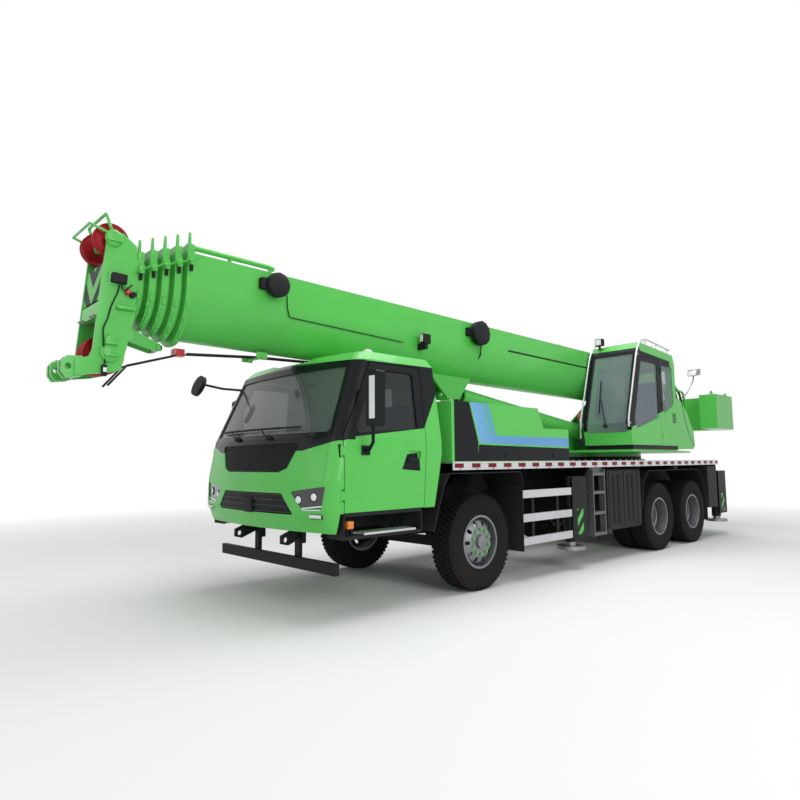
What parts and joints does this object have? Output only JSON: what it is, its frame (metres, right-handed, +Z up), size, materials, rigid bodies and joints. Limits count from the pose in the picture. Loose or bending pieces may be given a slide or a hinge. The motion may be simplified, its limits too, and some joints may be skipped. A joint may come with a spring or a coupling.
{
  "type": "mobile crane",
  "caption": "Three-axle truck crane with a telescopic boom stowed over the driver's cab, slewing operator's cab, counterweight and sliding outriggers.",
  "frame": {"origin": "on the ground under the middle of the crane's whole length, on its centre plane", "axes": "+X towards the driver's cab and boom head, +Y to the crane's left, +Z up"},
  "size_m": [12.75, 3.1144, 3.5946],
  "materials": {
    "green_paint": "gloss lime green",
    "black_paint": "satin black",
    "black_plastic": "matt black",
    "deck_aluminium": "chequer plate and bright rails",
    "tyre_rubber": "block tread rubber",
    "silver_rim": "silver paint",
    "rod_chrome": "hard chrome",
    "jack_steel": "turned steel",
    "engine_iron": "cast",
    "cab_trim": "grained dark grey",
    "seat_fabric": "woven navy",
    "tinted_glass": "tinted",
    "lamp_lens": "clear lens",
    "red_paint": "gloss red",
    "winch_paint": "green with bare drum"
  },
  "bodies": {
    "root": {"chassis_frame": "black_paint", "deck": "deck_aluminium", "hood": "green_paint", "engine": "engine_iron", "front_bar_and_tow_eyes": "black_paint", "cab_shell": "green_paint", "cab_glass": "tinted_glass", "cab_interior": "cab_trim", "cab_fittings": "black_plastic", "front_panels": "green_paint", "front_grilles": "black_plastic", "headlamps": "lamp_lens", "mudguards": "black_plastic", "guards_and_ladders": "deck_aluminium", "tanks_and_boxes": "black_plastic", "front_axle": "black_paint", "rear_axles": "black_paint"},
    "turntable": {"turntable": "green_paint", "counterweight": "green_paint", "winches": "winch_paint", "operator_cab": "green_paint", "operator_glass": "tinted_glass", "operator_seat": "seat_fabric"},
    "boom": {"boom_base": "green_paint"},
    "boom_section_2": {"boom_section_2": "green_paint"},
    "boom_section_3": {"boom_section_3": "green_paint"},
    "boom_section_4": {"boom_section_4": "green_paint"},
    "boom_section_5": {"boom_section_5": "green_paint", "head_sheaves": "red_paint"},
    "luff_barrel": {"luff_barrel": "green_paint"},
    "luff_rod": {"luff_rod": "rod_chrome"},
    "operator_door": {"operator_door": "green_paint", "operator_door_glass": "tinted_glass"},
    "door_left": {"door_left": "green_paint", "door_left_glass": "tinted_glass"},
    "door_right": {"door_right": "green_paint", "door_right_glass": "tinted_glass"},
    "knuckle_left": {"knuckle_left": "black_paint"},
    "knuckle_right": {"knuckle_right": "black_paint"},
    "tie_rod": {"tie_rod": "black_paint"},
    "wheel_front_left": {"tyre_front_left": "tyre_rubber", "rim_front_left": "silver_rim"},
    "wheel_front_right": {"tyre_front_right": "tyre_rubber", "rim_front_right": "silver_rim"},
    "wheel_middle_left": {"tyre_middle_left": "tyre_rubber", "rim_middle_left": "silver_rim"},
    "wheel_middle_right": {"tyre_middle_right": "tyre_rubber", "rim_middle_right": "silver_rim"},
    "wheel_rear_left": {"tyre_rear_left": "tyre_rubber", "rim_rear_left": "silver_rim"},
    "wheel_rear_right": {"tyre_rear_right": "tyre_rubber", "rim_rear_right": "silver_rim"},
    "outrigger_front_left": {"outrigger_front_left": "black_paint"},
    "jack_front_left": {"jack_front_left": "jack_steel"},
    "outrigger_front_right": {"outrigger_front_right": "black_paint"},
    "jack_front_right": {"jack_front_right": "jack_steel"},
    "outrigger_rear_left": {"outrigger_rear_left": "black_paint"},
    "jack_rear_left": {"jack_rear_left": "jack_steel"},
    "outrigger_rear_right": {"outrigger_rear_right": "black_paint"},
    "jack_rear_right": {"jack_rear_right": "jack_steel"}
  },
  "joints": [
    {"name": "slew", "type": "hinge", "parent": "root", "child": "turntable", "pos_m": [-2.725, 0, 1.52], "axis": [0, 0, 1], "continuous": true},
    {"name": "boom_luff", "type": "hinge", "parent": "turntable", "child": "boom", "pos_m": [-4.175, 0, 2.95], "axis": [0, -1, 0], "range_deg": [0, 80]},
    {"name": "telescope_2", "type": "slide", "parent": "boom", "child": "boom_section_2", "axis": [0.9999, 0, 0.0129], "range_m": [0, 7.6]},
    {"name": "telescope_3", "type": "slide", "parent": "boom_section_2", "child": "boom_section_3", "axis": [0.9999, 0, 0.0129], "range_m": [0, 7.6]},
    {"name": "telescope_4", "type": "slide", "parent": "boom_section_3", "child": "boom_section_4", "axis": [0.9999, 0, 0.0129], "range_m": [0, 7.6]},
    {"name": "telescope_5", "type": "slide", "parent": "boom_section_4", "child": "boom_section_5", "axis": [0.9999, 0, 0.0129], "range_m": [0, 7.6]},
    {"name": "luff_cylinder", "type": "hinge", "parent": "turntable", "child": "luff_barrel", "pos_m": [-2.075, 0, 1.95], "axis": [0, -1, 0], "range_deg": [0, 87.89]},
    {"name": "luff_stroke", "type": "slide", "parent": "luff_barrel", "child": "luff_rod", "axis": [0.9921, 0, 0.1258], "range_m": [0, 2.9165]},
    {"name": "operator_door", "type": "hinge", "parent": "turntable", "child": "operator_door", "pos_m": [-2.655, 1.186, 2.4], "axis": [0, 0, 1], "range_deg": [0, 85]},
    {"name": "door_left", "type": "hinge", "parent": "root", "child": "door_left", "pos_m": [4.285, 1.245, 1.35], "axis": [0, 0, -1], "range_deg": [0, 70]},
    {"name": "door_right", "type": "hinge", "parent": "root", "child": "door_right", "pos_m": [4.285, -1.245, 1.35], "axis": [0, 0, 1], "range_deg": [0, 70]},
    {"name": "steer_left", "type": "hinge", "parent": "root", "child": "knuckle_left", "pos_m": [2.225, 0.8, 0.5425], "axis": [0, 0, 1], "range_deg": [-36, 36]},
    {"name": "steer_right", "type": "hinge", "parent": "root", "child": "knuckle_right", "pos_m": [2.225, -0.8, 0.5425], "axis": [0, 0, 1], "range_deg": [-36, 36]},
    {"name": "tie_rod", "type": "hinge", "parent": "knuckle_left", "child": "tie_rod", "pos_m": [1.975, 0.8, 0.42], "axis": [0, 0, 1], "range_deg": [-36, 36]},
    {"name": "wheel_front_left", "type": "hinge", "parent": "knuckle_left", "child": "wheel_front_left", "pos_m": [2.225, 1.04, 0.5425], "axis": [0, 1, 0], "continuous": true},
    {"name": "wheel_front_right", "type": "hinge", "parent": "knuckle_right", "child": "wheel_front_right", "pos_m": [2.225, -1.04, 0.5425], "axis": [0, 1, 0], "continuous": true},
    {"name": "wheel_middle_left", "type": "hinge", "parent": "root", "child": "wheel_middle_left", "pos_m": [-2.275, 0.956, 0.5425], "axis": [0, 1, 0], "continuous": true},
    {"name": "wheel_middle_right", "type": "hinge", "parent": "root", "child": "wheel_middle_right", "pos_m": [-2.275, -0.956, 0.5425], "axis": [0, 1, 0], "continuous": true},
    {"name": "wheel_rear_left", "type": "hinge", "parent": "root", "child": "wheel_rear_left", "pos_m": [-3.625, 0.956, 0.5425], "axis": [0, 1, 0], "continuous": true},
    {"name": "wheel_rear_right", "type": "hinge", "parent": "root", "child": "wheel_rear_right", "pos_m": [-3.625, -0.956, 0.5425], "axis": [0, 1, 0], "continuous": true},
    {"name": "outrigger_front_left", "type": "slide", "parent": "root", "child": "outrigger_front_left", "axis": [0, 1, 0], "range_m": [0, 1.6]},
    {"name": "jack_front_left", "type": "slide", "parent": "outrigger_front_left", "child": "jack_front_left", "axis": [0, 0, -1], "range_m": [0, 0.52]},
    {"name": "outrigger_front_right", "type": "slide", "parent": "root", "child": "outrigger_front_right", "axis": [0, -1, 0], "range_m": [0, 1.6]},
    {"name": "jack_front_right", "type": "slide", "parent": "outrigger_front_right", "child": "jack_front_right", "axis": [0, 0, -1], "range_m": [0, 0.52]},
    {"name": "outrigger_rear_left", "type": "slide", "parent": "root", "child": "outrigger_rear_left", "axis": [0, 1, 0], "range_m": [0, 1.6]},
    {"name": "jack_rear_left", "type": "slide", "parent": "outrigger_rear_left", "child": "jack_rear_left", "axis": [0, 0, -1], "range_m": [0, 0.52]},
    {"name": "outrigger_rear_right", "type": "slide", "parent": "root", "child": "outrigger_rear_right", "axis": [0, -1, 0], "range_m": [0, 1.6]},
    {"name": "jack_rear_right", "type": "slide", "parent": "outrigger_rear_right", "child": "jack_rear_right", "axis": [0, 0, -1], "range_m": [0, 0.52]}
  ],
  "couplings": [
    {"joint": "telescope_3", "follows": "telescope_2", "ratio": 1},
    {"joint": "telescope_4", "follows": "telescope_2", "ratio": 1},
    {"joint": "telescope_5", "follows": "telescope_2", "ratio": 1},
    {"joint": "luff_cylinder", "follows": "boom_luff", "ratio": 1.0984},
    {"joint": "luff_stroke", "follows": "boom_luff", "m_per_rad": 2.0884},
    {"joint": "steer_right", "follows": "steer_left", "ratio": 1},
    {"joint": "tie_rod", "follows": "steer_left", "ratio": -1}
  ]
}
